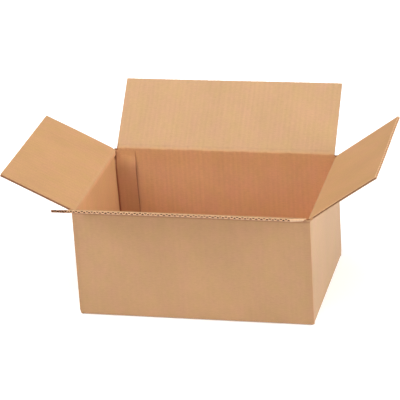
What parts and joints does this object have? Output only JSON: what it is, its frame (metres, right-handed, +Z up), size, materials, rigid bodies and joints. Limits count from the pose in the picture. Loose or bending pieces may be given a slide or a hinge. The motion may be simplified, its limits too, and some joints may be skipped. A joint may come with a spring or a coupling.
{
  "type": "open cardboard box",
  "caption": "Regular slotted corrugated board box, standing open: a closed base, a glued side tab and hinged top flaps that fold in to shut or out and down.",
  "frame": {"origin": "centre of the base, on the surface the box stands on", "axes": "+X along the long walls, +Y from the front wall to the back wall, +Z up"},
  "size_m": [0.564, 0.4462, 0.2565],
  "materials": {
    "kraft_board": "matte"
  },
  "bodies": {
    "carton": {"carton_body": "kraft_board"},
    "front_flap": {"front_flap": "kraft_board"},
    "back_flap": {"back_flap": "kraft_board"},
    "left_flap": {"left_flap": "kraft_board"},
    "right_flap": {"right_flap": "kraft_board"}
  },
  "joints": [
    {"name": "front_flap_fold", "type": "hinge", "parent": "carton", "child": "front_flap", "pos_m": [0, -0.124, 0.1713], "axis": [-1, 0, 0], "range_deg": [-97.5, 157.5]},
    {"name": "back_flap_fold", "type": "hinge", "parent": "carton", "child": "back_flap", "pos_m": [0, 0.124, 0.1713], "axis": [1, 0, 0], "range_deg": [-118.3, 136.7]},
    {"name": "left_flap_fold", "type": "hinge", "parent": "carton", "child": "left_flap", "pos_m": [-0.179, 0, 0.167], "axis": [0, 1, 0], "range_deg": [-101.1, 153.9]},
    {"name": "right_flap_fold", "type": "hinge", "parent": "carton", "child": "right_flap", "pos_m": [0.179, 0, 0.167], "axis": [0, -1, 0], "range_deg": [-110.1, 144.9]}
  ]
}
